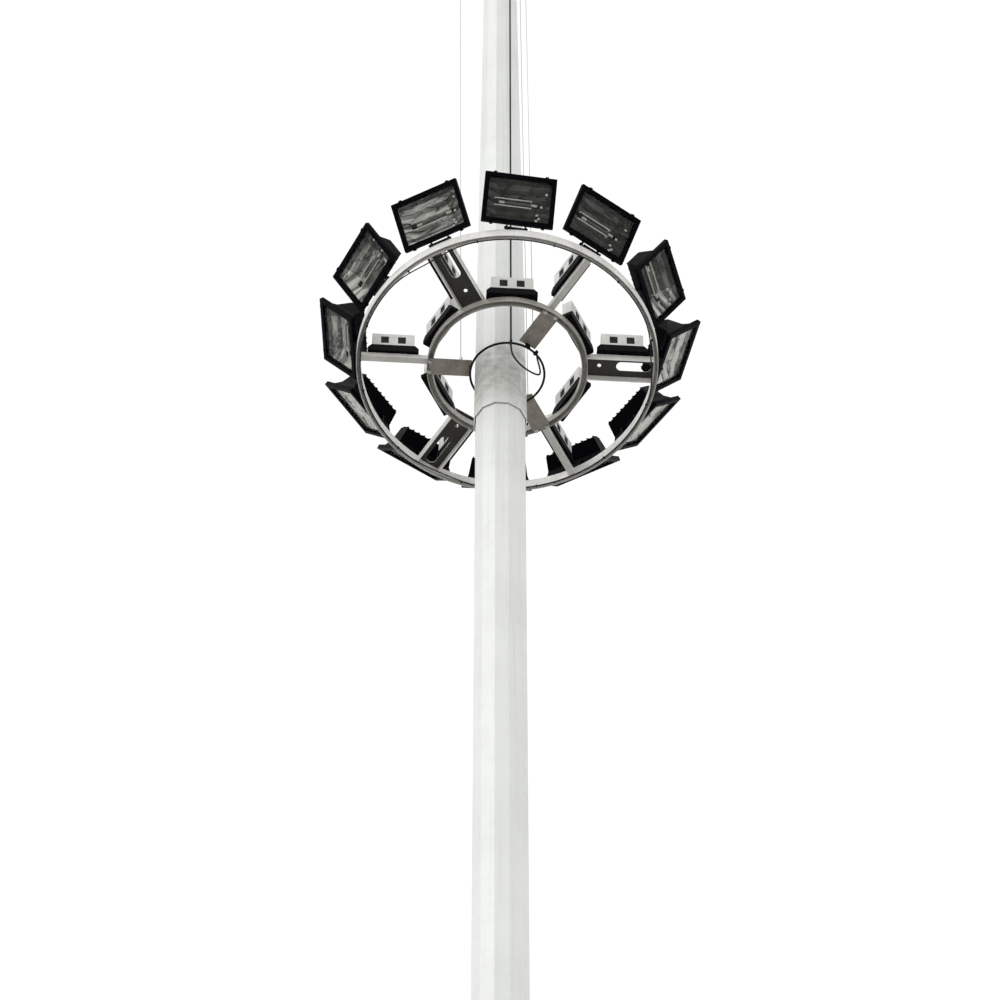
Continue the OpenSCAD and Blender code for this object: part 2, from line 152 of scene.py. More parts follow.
def add(tree: NodeTree, kind: str, links: dict[str | int, Any] | None = None, **settings: Any) -> Node:
    """Add a node with its settings and links.

    Args:
        tree: the node tree that takes the node.
        kind: the node's type, without the word ShaderNode.
        links: each input's name or number, with a value or the socket that feeds it.
        settings: attributes of the node.

    Returns:
        The new node.
    """
    made = tree.nodes.new("ShaderNode" + kind)
    for name, value in settings.items():
        setattr(made, name, value)
    for key, value in (links or {}).items():
        if isinstance(value, NodeSocket):
            tree.links.new(value, made.inputs[key])
        else:
            made.inputs[key].default_value = value
    return made


@dataclass(frozen=True)
class Finish:
    """A surface finish; each kind of material is a subclass that wires its own nodes."""

    name: str
    colour: str
    roughness: float

    def material(self) -> Material:
        """Find the material of this finish, or make it on its first use.

        Returns:
            The material.
        """
        made = bpy.data.materials.get(self.name)
        if made is None:
            made = bpy.data.materials.new(self.name)
            made.use_nodes = True
            made.node_tree.nodes.clear()
            made.diffuse_color = linear(self.colour)
            shader = self.wire(made.node_tree)
            add(made.node_tree, "OutputMaterial", {"Surface": shader.outputs[0]})
        return made

    def wire(self, tree: NodeTree) -> Node:
        """Add the nodes of this finish to a material's node tree, and return its shader node."""
        return add(tree, "BsdfPrincipled", {"Base Color": linear(self.colour), "Roughness": self.roughness})


@dataclass(frozen=True)
class Band:
    """A stretch of height, in metres, where a coat is stained, and how strongly in dark and faint patches."""

    low: float
    high: float
    soft_low: float
    soft_high: float
    strength: float
    faint: float = 0.16


@dataclass(frozen=True)
class Coat(Finish):
    """Brushed or sprayed paint, powder coat or zinc: even colour, soft mottling, rain streaks and grime.

    The mottling and grime sizes are those that rain and dust leave on such steel outdoors, in millimetres.
    """

    shade: str = "808080"
    grime: str = "5A5248"
    metallic: float = 0.0
    mottle_mm: float = 260.0
    streak_mm: tuple[float, float] = (22.0, 1400.0)
    streak: float = 0.25
    grime_mm: float = 55.0
    grime_amount: float = 0.2
    grain_mm: float = 3.0
    bump_mm: float = 0.08
    bands: tuple[Band, ...] = ()
    stain: str = "6A5E52"
    specular: float = 0.5
    # Painted shade: faces that look down, above the height given last, are darkened towards the colour given
    # first, as far as the amount between them
    underside_shade: str = "5F574D"
    underside_shade_amount: float = 0.0
    underside_shade_above: float = 0.0
    dust: str = "6A6865"
    top_dust: float = 0.0

    def wire(self, tree: NodeTree) -> Node:
        """Add the nodes of this coat.

        Args:
            tree: the material's node tree.

        Returns:
            The shader node.
        """
        place = add(tree, "TexCoord").outputs["Object"]
        mottle = add(tree, "TexNoise", {"Vector": place, "Scale": 1 / (self.mottle_mm * MM), "Detail": 5.0})
        wide, tall = self.streak_mm
        stretch = [1 / (size * MM) for size in (wide, wide, tall)]
        drawn = add(tree, "Mapping", {"Vector": place, "Scale": stretch})
        streak = add(tree, "TexNoise", {"Vector": drawn.outputs[0], "Scale": 1.0, "Detail": 4.0})
        fine = {"Scale": 1 / (self.grime_mm * MM), "Detail": 8.0, "Roughness": 0.7}
        spots = add(tree, "TexNoise", {"Vector": place, **fine}).outputs[0]
        marks = (
            (mottle.outputs[0], MOTTLED, 1.0, self.shade),
            (streak.outputs[0], STREAKED, self.streak, self.grime),
            (spots, GRIMED, self.grime_amount, self.grime),
        )
        layers: list[tuple[NodeSocket, str]] = []
        for cloud, span, most, tint in marks:
            faded = add(tree, "MapRange", {"Value": cloud, **span, "To Max": most})
            layers.append((faded.outputs[0], tint))
        if self.underside_shade_amount:
            layers.append((self.shaded_underside(tree, place), self.underside_shade))
        if self.top_dust:
            layers.append((self.dusted(tree, spots), self.dust))
        for band in self.bands:
            layers.append((self.stained(tree, place, spots, band), self.stain))
        colour: Any = linear(self.colour)
        for amount, tint in layers:
            tints = {0: amount, 6: colour, 7: linear(tint)}
            colour = add(tree, "Mix", tints, data_type="RGBA").outputs[2]
        grain = add(tree, "TexNoise", {"Vector": place, "Scale": 1 / (self.grain_mm * MM), "Detail": 3.0})
        pebble = {"Height": grain.outputs[0], "Strength": 0.5, "Distance": self.bump_mm * MM}
        wear = {"To Min": max(0.05, self.roughness - 0.08), "To Max": min(1.0, self.roughness + 0.12)}
        return add(
            tree,
            "BsdfPrincipled",
            {
                "Base Color": colour,
                "Roughness": add(tree, "MapRange", {"Value": spots, **WORN, **wear}).outputs[0],
                "Metallic": self.metallic,
                "Specular IOR Level": self.specular,
                "Normal": add(tree, "Bump", pebble).outputs[0],
            },
        )

    def shaded_underside(self, tree: NodeTree, place: NodeSocket) -> NodeSocket:
        """Find the faces that look down, above a height, which are darkened as painted shade.

        Args:
            tree: the material's node tree.
            place: the object coordinates.

        Returns:
            How much painted shade darkens them.
        """
        normal = add(tree, "NewGeometry").outputs["Normal"]
        fall = add(tree, "SeparateXYZ", {"Vector": normal}).outputs["Z"]
        below = add(tree, "MapRange", {"Value": fall, **LOOKS_DOWN, "To Max": self.underside_shade_amount})
        height = add(tree, "SeparateXYZ", {"Vector": place}).outputs["Z"]
        above = add(tree, "Math", {0: height, 1: self.underside_shade_above}, operation="GREATER_THAN")
        both = {0: below.outputs[0], 1: above.outputs[0]}
        return add(tree, "Math", both, operation="MULTIPLY").outputs[0]

    def dusted(self, tree: NodeTree, cloud: NodeSocket) -> NodeSocket:
        """Find the faces that look up, where dust lies.

        Args:
            tree: the material's node tree.
            cloud: the noise that breaks the dust up.

        Returns:
            How much dust covers them.
        """
        normal = add(tree, "NewGeometry").outputs["Normal"]
        rise = add(tree, "SeparateXYZ", {"Vector": normal}).outputs["Z"]
        above = add(tree, "MapRange", {"Value": rise, **LOOKS_UP, "To Max": self.top_dust})
        patch = add(tree, "MapRange", {"Value": cloud, **DUSTED, "To Min": 0.5})
        both = {0: above.outputs[0], 1: patch.outputs[0]}
        return add(tree, "Math", both, operation="MULTIPLY").outputs[0]

    def stained(self, tree: NodeTree, place: NodeSocket, cloud: NodeSocket, band: Band) -> NodeSocket:
        """Find the stain on one stretch of height.

        Args:
            tree: the material's node tree.
            place: the object coordinates.
            cloud: the noise that breaks the stain up.
            band: the stretch of height.

        Returns:
            How much of the stain covers the coat.
        """
        height = add(tree, "SeparateXYZ", {"Vector": place}).outputs["Z"]
        foot = {"From Min": band.low - band.soft_low, "From Max": band.low + band.soft_low}
        head = {"From Min": band.high - band.soft_high, "From Max": band.high + band.soft_high}
        down = {"To Min": 1.0, "To Max": 0.0}
        rise = add(tree, "MapRange", {"Value": height, **foot}, interpolation_type="SMOOTHSTEP")
        fall = add(tree, "MapRange", {"Value": height, **head, **down}, interpolation_type="SMOOTHSTEP")
        blotch = {"To Min": band.faint, "To Max": band.strength}
        patch = add(tree, "MapRange", {"Value": cloud, **STAINED, **blotch})
        inside = add(tree, "Math", {0: rise.outputs[0], 1: fall.outputs[0]}, operation="MULTIPLY")
        both = {0: inside.outputs[0], 1: patch.outputs[0]}
        return add(tree, "Math", both, operation="MULTIPLY").outputs[0]


@dataclass(frozen=True)
class RolledAluminium(Finish):
    """Folded reflector sheet with a painted reflection: its colour is bright or dark as if each fold mirrored
    another part of the surroundings, in streaks along it, with dark creases and bright glints painted in.

    The mesh carries the painted brightness of each fold in its attribute "tone" and the flat sheet, in
    metres, in its UV map "sheet". The streaks are as long and as wide as the waves that folding leaves in
    thin sheet.
    """

    # The painted reflection runs from the finish's colour, where a fold mirrors nothing, to this bright
    # colour
    bright: str = "ECEBE5"
    streak_mm: tuple[float, float] = (210.0, 55.0)
    streak_bend: float = 0.3
    # Dark crease lines drawn into the painted reflection
    crease_mm: tuple[float, float] = (170.0, 60.0)
    crease_bend: float = 0.35
    crease_wide: float = 0.04
    crease_dark: float = 0.12
    # Painted glints: bright specks put into the colour
    glint_mm: float = 16.0
    glint: float = 0.3
    contrast: float = 1.7

    def drawn(self, tree: NodeTree, flat: NodeSocket, size_mm: Sequence[float], bend: float) -> NodeSocket:
        """Draw a noise out along the sheet.

        Args:
            tree: the material's node tree.
            flat: the flat sheet's coordinates, in metres.
            size_mm: length and width of the marks.
            bend: how far they waver.

        Returns:
            The noise, about a half.
        """
        stretch = [1 / (size_mm[0] * MM), 1 / (size_mm[1] * MM), 1.0]
        along = add(tree, "Mapping", {"Vector": flat, "Scale": stretch})
        marks = {"Vector": along.outputs[0], "Scale": 1.0, "Detail": 3.0, "Distortion": bend}
        return add(tree, "TexNoise", marks).outputs[0]

    def wire(self, tree: NodeTree) -> Node:
        """Add the nodes of the sheet.

        Args:
            tree: the material's node tree.

        Returns:
            The shader node.
        """
        flat = add(tree, "UVMap", uv_map="sheet").outputs[0]
        tone = add(tree, "Attribute", attribute_name="tone").outputs["Fac"]
        streak = self.drawn(tree, flat, self.streak_mm, self.streak_bend)
        swing = {"To Min": 1 - 0.5 * self.contrast, "To Max": 1 + 0.5 * self.contrast}
        shift = add(tree, "MapRange", {"Value": streak, **DRAWN, **swing})
        wave = self.drawn(tree, flat, self.crease_mm, self.crease_bend)
        off = add(tree, "Math", {0: wave, 1: 0.5}, operation="SUBTRACT")
        far = add(tree, "Math", {0: off.outputs[0]}, operation="ABSOLUTE")
        edge = {"From Max": self.crease_wide, "To Min": self.crease_dark}
        crease = add(tree, "MapRange", {"Value": far.outputs[0], **edge})
        speck = add(tree, "TexNoise", {"Vector": flat, "Scale": 1 / (self.glint_mm * MM), "Detail": 2.0})
        glint = add(tree, "MapRange", {"Value": speck.outputs[0], **GLINTING, "To Max": self.glint})
        # The painted reflection: each fold's tone, swung by the streaks, darkened along the creases, with the
        # painted glints added
        lit = add(tree, "Math", {0: shift.outputs[0], 1: tone}, operation="MULTIPLY")
        lit = add(tree, "Math", {0: lit.outputs[0], 1: crease.outputs[0]}, operation="MULTIPLY")
        lit = add(tree, "Math", {0: lit.outputs[0], 1: glint.outputs[0]}, operation="ADD", use_clamp=True)
        tints = {0: lit.outputs[0], 6: linear(self.colour), 7: linear(self.bright)}
        bump = add(tree, "Bump", {"Height": streak, "Strength": 0.4, "Distance": 1.0 * MM})
        return add(
            tree,
            "BsdfPrincipled",
            {
                "Base Color": add(tree, "Mix", tints, data_type="RGBA").outputs[2],
                "Metallic": 0.35,
                "Specular IOR Level": 0.12,
                "Roughness": self.roughness,
                "Normal": bump.outputs[0],
            },
        )


@dataclass(frozen=True)
class ToughGlass(Finish):
    """Toughened float glass with a film of road dust: nearly clear, with a weak sheen."""

    thin: float = 0.036
    thick: float = 0.09
    dust_mm: float = 70.0

    def wire(self, tree: NodeTree) -> Node:
        """Add the nodes of the glass.

        Args:
            tree: the material's node tree.

        Returns:
            The shader node.
        """
        place = add(tree, "TexCoord").outputs["Object"]
        dust = add(tree, "TexNoise", {"Vector": place, "Scale": 1 / (self.dust_mm * MM), "Detail": 6.0})
        film = {"To Min": self.thin, "To Max": self.thick}
        return add(
            tree,
            "BsdfPrincipled",
            {
                "Base Color": linear(self.colour),
                "Roughness": self.roughness,
                "IOR": 1.5,
                "Alpha": add(tree, "MapRange", {"Value": dust.outputs[0], **WORN, **film}).outputs[0],
            },
        )


@dataclass(frozen=True)
class Strands(Finish):
    """Laid steel wire rope: slanting bright strands, darker between them.

    The strands of a 6 mm rope are about 2 mm wide; they are drawn 6 mm apart so that they show.
    """

    gap: str = "8E8E8C"
    pitch_mm: float = 6.0

    def wire(self, tree: NodeTree) -> Node:
        """Add the nodes of the rope.

        Args:
            tree: the material's node tree.

        Returns:
            The shader node.
        """
        place = add(tree, "TexCoord").outputs["Object"]
        lay = {"Vector": place, "Scale": WAVE_SCALE / (self.pitch_mm * MM), "Distortion": 0.3}
        strand = add(tree, "TexWave", lay, bands_direction="DIAGONAL").outputs["Fac"]
        tints = {0: strand, 6: linear(self.gap), 7: linear(self.colour)}
        bump = add(tree, "Bump", {"Height": strand, "Strength": 0.6, "Distance": 0.6 * MM})
        return add(
            tree,
            "BsdfPrincipled",
            {
                "Base Color": add(tree, "Mix", tints, data_type="RGBA").outputs[2],
                "Metallic": 0.8,
                "Roughness": self.roughness,
                "Normal": bump.outputs[0],
            },
        )


# Sprayed polyurethane on steel: near white, satin, with faint rain streaks and a stained slip joint
SHAFT_PAINT = Coat(
    "shaft_paint_polyurethane", "E1E3E0", 0.42, shade="D8DAD7", grime="A79F94", streak=0.18,
    grime_amount=0.08, grime_mm=90.0, mottle_mm=700.0,
)
UPPER_PAINT = replace(
    SHAFT_PAINT, name="upper_shaft_paint_polyurethane",
    bands=(Band(11.20, 11.93, 0.22, 0.10, 0.68),), stain="8F877E",
)
# Hot dip zinc, painted once: light grey, with painted shade darkening every face that looks down
CARRIAGE_PAINT = Coat(
    "carriage_paint_over_zinc", "EFEEEB", 0.5, shade="DAD8D3", grime="6A6258", streak=0.15,
    grime_amount=0.25, grime_mm=42.0, mottle_mm=160.0, underside_shade_amount=0.5,
)
# The same paint in channels that are open below, with painted shade: faces that look down, above the ring's
# middle height, such as the underside of the web, are darkened near black
CHANNEL_PAINT = replace(
    CARRIAGE_PAINT, name="channel_paint_over_zinc", underside_shade="1D1A17", underside_shade_amount=0.96,
    underside_shade_above=RING.middle.z, specular=0.1,
)
# The same paint on the middle ring, darker and greyer, with more grime
MIDDLE_PAINT = replace(
    CARRIAGE_PAINT, name="middle_ring_paint_over_zinc", colour="C4C2BD", shade="A9A69F",
    grime_amount=0.5,
)
# Bare zinc gone brown with age: dull, blotched
AGED_ZINC = Coat(
    "guide_arm_aged_zinc", "8A847B", 0.62, shade="777067", grime="4A433B", metallic=0.25,
    grime_amount=0.4, grime_mm=30.0, mottle_mm=90.0,
)
# Hot dip zinc on plate: cool grey, spangled
FLANGE_ZINC = Coat(
    "flange_hot_dip_zinc", "A9ADB0", 0.48, shade="90959A", grime="5C5A55", metallic=0.55,
    mottle_mm=28.0, grime_amount=0.25,
)
# Polyester powder coat on die cast aluminium: black, satin, slightly pebbled, dusty
BLACK_CAST = Coat(
    "housing_black_powder_coat", "030408", 0.55, shade="06070C", grime="191817", streak=0.08,
    grime_amount=0.12, grime_mm=35.0, mottle_mm=120.0, grain_mm=4.0, bump_mm=0.03, specular=0.03,
    top_dust=0.3,
)
# Black enamel on bar steel, chalked by weather
BLACK_ENAMEL = Coat(
    "bracket_black_enamel", "0A0B0E", 0.55, shade="141417", grime="3A322B", grime_amount=0.12,
    grime_mm=25.0, mottle_mm=80.0, specular=0.1,
)
# Glass filled polyamide, moulded: black with a fine matt grain
GEAR_BLACK = Coat(
    "gear_tray_moulded_polyamide", "040508", 0.6, shade="090A0E", grime="262422", grime_amount=0.1,
    grime_mm=30.0, mottle_mm=100.0, grain_mm=1.6, bump_mm=0.1, specular=0.04,
)
# Polyester moulding, light grey, chalky
GEAR_WHITE = Coat(
    "gear_box_moulded_polyester", "E9E8E5", 0.5, shade="DAD8D3", grime="8D857A", streak=0.15,
    grime_amount=0.15, grime_mm=40.0, mottle_mm=120.0, grain_mm=1.6,
)
# Chloroprene sheath: black, dull, with chalk marks
CABLE_RUBBER = Coat(
    "cable_chloroprene_sheath", "101113", 0.6, shade="1A1B1C", grime="3A3733", grime_amount=0.12,
    grime_mm=18.0, mottle_mm=60.0, grain_mm=1.2, bump_mm=0.05, specular=0.2,
)
# Turned or pressed steel with bright zinc plating
PLATED_STEEL = Coat(
    "fastener_zinc_plated_steel", "B7B8B6", 0.34, shade="9C9B97", grime="5B5348", metallic=0.9,
    grime_amount=0.3, grime_mm=12.0, mottle_mm=40.0, bump_mm=0.03,
)
# Matt black plates in the gear boxes' pockets, as painted shade: they stand for the shade in the pockets
POCKET_SHADE = Coat(
    "gear_pocket_painted_shade", "15161A", 0.7, shade="1F2024", grime="3A3733", mottle_mm=30.0,
    grime_mm=15.0, specular=0.15,
)
# Stainless strip, painted near white and half dull, as a painted highlight: the springs and tabs show as the
# reflector's bright lines and glints
SPRING_HIGHLIGHT = Coat(
    "reflector_spring_painted_highlight", "E6E5DF", 0.45, shade="CFCEC7", grime="6B6358", grime_amount=0.2,
    grime_mm=12.0, mottle_mm=40.0, bump_mm=0.03,
)
# Steatite lamp ends: cream, dull
CERAMIC = Coat(
    "lamp_end_steatite", "D9D3C4", 0.5, shade="C9C2B1", grime="7D756A", mottle_mm=20.0,
    grime_mm=10.0,
)
# Galvanised steel wire, laid, bright
ROPE = Strands("rope_bright_galvanised_wire", "D2D3D2", 0.45)
# Anodised aluminium sheet, folded, with a painted reflection: this dark colour where it mirrors nothing
REFLECTOR = RolledAluminium("reflector_anodised_aluminium", "100F0C", 0.4)
# Toughened glass, dusty
PANE = ToughGlass("pane_toughened_glass", "70726F", 0.08)
# Quartz tube of the lamp, not lit
LAMP_GLASS = Finish("lamp_clear_quartz", "55534D", 0.2)


def rebuilt(name: str, bm: BMesh, finishes: Sequence[Finish], smooth: bool = False) -> Object:
    """Make an object at the origin from a finished bmesh.

    Args:
        name: the piece's name.
        bm: the mesh in place, in metres; it is freed.
        finishes: one finish for each material index.
        smooth: whether its faces are shaded smooth.

    Returns:
        The object, linked to the scene.
    """
    mesh = bpy.data.meshes.new(name)
    for face in bm.faces:
        face.smooth = smooth
    bm.to_mesh(mesh)
    bm.free()
    for finish in finishes:
        mesh.materials.append(finish.material())
    made = bpy.data.objects.new(name, mesh)
    bpy.context.scene.collection.objects.link(made)
    LOG.info("%s: %d faces", name, len(mesh.polygons))
    return made


def paint(names: Iterable[str], finish: Finish, round_mm: float = 0.0) -> None:
    """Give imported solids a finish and, if asked, softly rounded edges.

    Args:
        names: the nodes.
        finish: their finish.
        round_mm: width of the rounding, or nought for none.
    """
    for name in names:
        piece = frame["nodes"][name]
        piece.data.materials.clear()
        piece.data.materials.append(finish.material())
        if round_mm:
            weld = piece.modifiers.new("weld", "WELD")
            weld.merge_threshold = WELD_GAP
            edge = piece.modifiers.new("edge", "BEVEL")
            edge.width = round_mm * MM
            edge.segments = 2
            edge.limit_method = "ANGLE"
            edge.angle_limit = SHARP
        LOG.info("%s: %s", name, finish.name)


def rod(
    bm: BMesh,
    place: Matrix,
    thick: float,
    length: float,
    sides: int = 14,
    tip: float | None = None,
) -> list[BMVert]:
    """Add a round or many-sided bar.

    Args:
        bm: the mesh that takes it.
        place: its middle and turn, its length along Z.
        thick: its diameter, in metres.
        length: its length, in metres.
        sides: number of its facets.
        tip: diameter at its far end, where it narrows.

    Returns:
        Its vertices.
    """
    return bmesh.ops.create_cone(
        bm,
        cap_ends=True,
        segments=sides,
        radius1=thick / 2,
        radius2=(thick if tip is None else tip) / 2,
        depth=length,
        matrix=place,
    )["verts"]


@dataclass(frozen=True)
class Bolt:
    """A hexagon head with a chamfered top and an optional washer, in metres."""

    across: float
    height: float
    washer: float = 0.0
    washer_share: float = 0.18
    crown_share: float = 0.2
    crown_tip: float = 0.8

    def drive(self, bm: BMesh, place: Matrix) -> None:
        """Add the head.

        Args:
            bm: the mesh that takes it.
            place: where it stands, its foot at the origin and its top along +Z.
        """
        foot = self.washer_share * self.height if self.washer else 0.0
        if self.washer:
            rod(bm, place @ Matrix.Translation((0, 0, foot / 2)), self.washer, foot, sides=16)
        crown = self.crown_share * self.height
        shank = self.height - crown
        rod(bm, place @ Matrix.Translation((0, 0, foot + shank / 2)), self.across, shank, sides=6)
        top = place @ Matrix.Translation((0, 0, foot + shank + crown / 2))
        rod(bm, top, self.across, crown, sides=6, tip=self.crown_tip * self.across)


ANCHOR_NUT = Bolt(0.053, 0.026, 0.056)
COVER_SCREW = Bolt(0.016, 0.007, 0.020)
LOCK_SCREW = Bolt(0.016, 0.003)
STIRRUP_BOLT = Bolt(0.022, 0.010, 0.028)
ARM_BOLT = Bolt(0.028, 0.012, 0.034)
LID_SCREW = Bolt(0.012, 0.004)


def mark(bm: BMesh, before: set[BMFace], index: int) -> None:
    """Give the faces that a mesh has gained a material index.

    Args:
        bm: the mesh.
        before: the faces that it had already.
        index: the material index.
    """
    for face in set(bm.faces) - before:
        face.material_index = index


def block(bm: BMesh, place: Matrix, size: Sequence[float], edge: float = 0.0) -> list[BMVert]:
    """Add a block with softly rounded edges.

    Args:
        bm: the mesh that takes it.
        place: its centre and turn.
        size: its three sides, in metres.
        edge: width of the rounding, in metres.

    Returns:
        The block's vertices before the rounding.
    """
    made = bmesh.ops.create_cube(bm, size=1.0, matrix=place @ Matrix.Diagonal((*size, 1.0)))["verts"]
    if edge:
        edges = list(dict.fromkeys(e for v in made for e in v.link_edges))
        bmesh.ops.bevel(
            bm,
            geom=edges,
            offset=edge,
            affect="EDGES",
            segments=2,
            profile=0.5,
            material=-1,
        )
    return made


@dataclass
class Mast:
    """Shaft, base and head of the tower, with the ropes and the straight run of cable."""

    anchor_radius: float = 0.290
    anchors: int = 12
    rope_thick: float = 0.006
    stud: tuple[float, float] = (0.030, 0.050)
    stud_rise: float = 0.045
    screw_inset: tuple[float, float] = (0.018, 0.022)
    lock: tuple[float, float] = (0.040, 0.006)
    rivets: int = 36
    rivet_radius: float = 0.008
    rivet_rise: float = 0.03
    rivet_sink: float = 0.001
    rivet_flat: float = 0.5

    def dress(self) -> None:
        """Give the mast's solids their finishes."""
        paint(["lower_shaft", "head_hood"], SHAFT_PAINT)
        paint(["service_cover"], SHAFT_PAINT, round_mm=2.0)
        paint(["upper_shaft"], UPPER_PAINT)
        paint(["base_flange", "base_gussets"], FLANGE_ZINC, round_mm=2.0)
        paint(["head_frame"], FLANGE_ZINC)
        paint(["head_pulleys"], PLATED_STEEL)

    def fasteners(self) -> Object:
        """Build the anchor nuts, the cover's screws and lock, and the hood's rivets.

        Returns:
            One piece with them all.
        """
        bm = bmesh.new()
        flange = Extent.of("base_flange")
        for i in range(self.anchors):
            turn = Matrix.Rotation(math.tau * i / self.anchors, 4, "Z")
            place = turn @ Matrix.Translation((self.anchor_radius, 0, flange.high.z))
            ANCHOR_NUT.drive(bm, place)
            rod(bm, place @ Matrix.Translation((0, 0, self.stud_rise)), *self.stud)
        cover = Extent.of("service_cover")
        for side, end in product(SIDES, SIDES):
            x = cover.middle.x + side * (cover.size.x / 2 - self.screw_inset[0])
            z = cover.middle.z + end * (cover.size.z / 2 - self.screw_inset[1])
            COVER_SCREW.drive(bm, Matrix.Translation((x, cover.low.y, z)) @ ALONG_Y)
        lock = Matrix.Translation((cover.middle.x, cover.low.y, cover.middle.z)) @ ALONG_Y
        rod(bm, lock @ Matrix.Translation((0, 0, self.lock[1] / 2)), *self.lock)
        LOCK_SCREW.drive(bm, lock @ Matrix.Translation((0, 0, self.lock[1])))
        hood = Extent.of("head_hood")
        for i in range(self.rivets):
            turn = Matrix.Rotation(math.tau * (i + 0.5) / self.rivets, 4, "Z")
            reach, rise = hood.high.x - self.rivet_sink, hood.low.z + self.rivet_rise
            place = turn @ Matrix.Translation((reach, 0, rise))
            bmesh.ops.create_uvsphere(
                bm,
                u_segments=8,
                v_segments=6,
                radius=self.rivet_radius,
                matrix=place @ Matrix.Diagonal((self.rivet_flat, 1, 1, 1)),
            )
        made = rebuilt("mast_fasteners", bm, [PLATED_STEEL])
        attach(made, Body.MAST.value)
        return made

    def stretched(self, name: str, node: str, bm: BMesh, finish: Finish) -> Object:
        """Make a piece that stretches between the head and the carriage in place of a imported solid.

        Args:
            name: the piece's name.
            node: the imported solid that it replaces.
            bm: its mesh, with points at its two ends only.
            finish: its finish.

        Returns:
            The piece.
        """
        run = Extent.of(node)
        made = rebuilt(name, bm, [finish], smooth=True)
        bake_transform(made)
        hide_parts(node)
        return made

    def ropes(self) -> Object:
        """Build the hoist ropes, which slant from the head down to the carriage.

        Returns:
            One piece with the three ropes.
        """
        bm = bmesh.new()
        run = Extent.of("hoist_ropes")
        for angle in ARM_ANGLES:
            turn = Matrix.Rotation(math.radians(angle), 4, "Z")
            top = turn @ Vector((ROPE_RADIUS, 0, 0))
            place = Matrix.Translation((top.x, top.y, run.middle.z))
            made = rod(bm, place, self.rope_thick, run.size.z)
            feet = [v for v in made if v.co.z < run.middle.z]
            bmesh.ops.translate(bm, vec=(RING.middle.x, RING.middle.y, 0), verts=feet)
        return self.stretched("hoist_rope_set", "hoist_ropes", bm, ROPE)

    def cable(self) -> Object:
        """Build the straight run of the supply cable.

        Returns:
            The cable.
        """
        bm = bmesh.new()
        run = Extent.of("supply_cable")
        rod(bm, Matrix.Translation(run.middle), CABLE_THICK, run.size.z)
        return self.stretched("supply_cable_run", "supply_cable", bm, CABLE_RUBBER)


# Route of the cable loop from clamp to clamp: shares of the turn between them, of its swing and of its depth
LOOP_ROUTE = (
    (0, 0, 0), (0, 0, 0.15), (0.01, 0, 0.29), (0.04, 0, 0.43), (0.1, 0.05, 0.56), (0.18, 0.1, 0.68),
    (0.28, 0.2, 0.79), (0.39, 0.3, 0.88), (0.51, 0.45, 0.95), (0.64, 0.6, 0.99), (0.76, 0.75, 1),
    (0.86, 0.88, 0.985), (0.94, 0.97, 0.945), (0.99, 1, 0.885), (1.01, 1, 0.8), (1.015, 0.9, 0.68),
    (1.01, 0.7, 0.55), (1.005, 0.45, 0.41), (1, 0.2, 0.27), (1, 0, 0.13), (1, 0, 0),
)


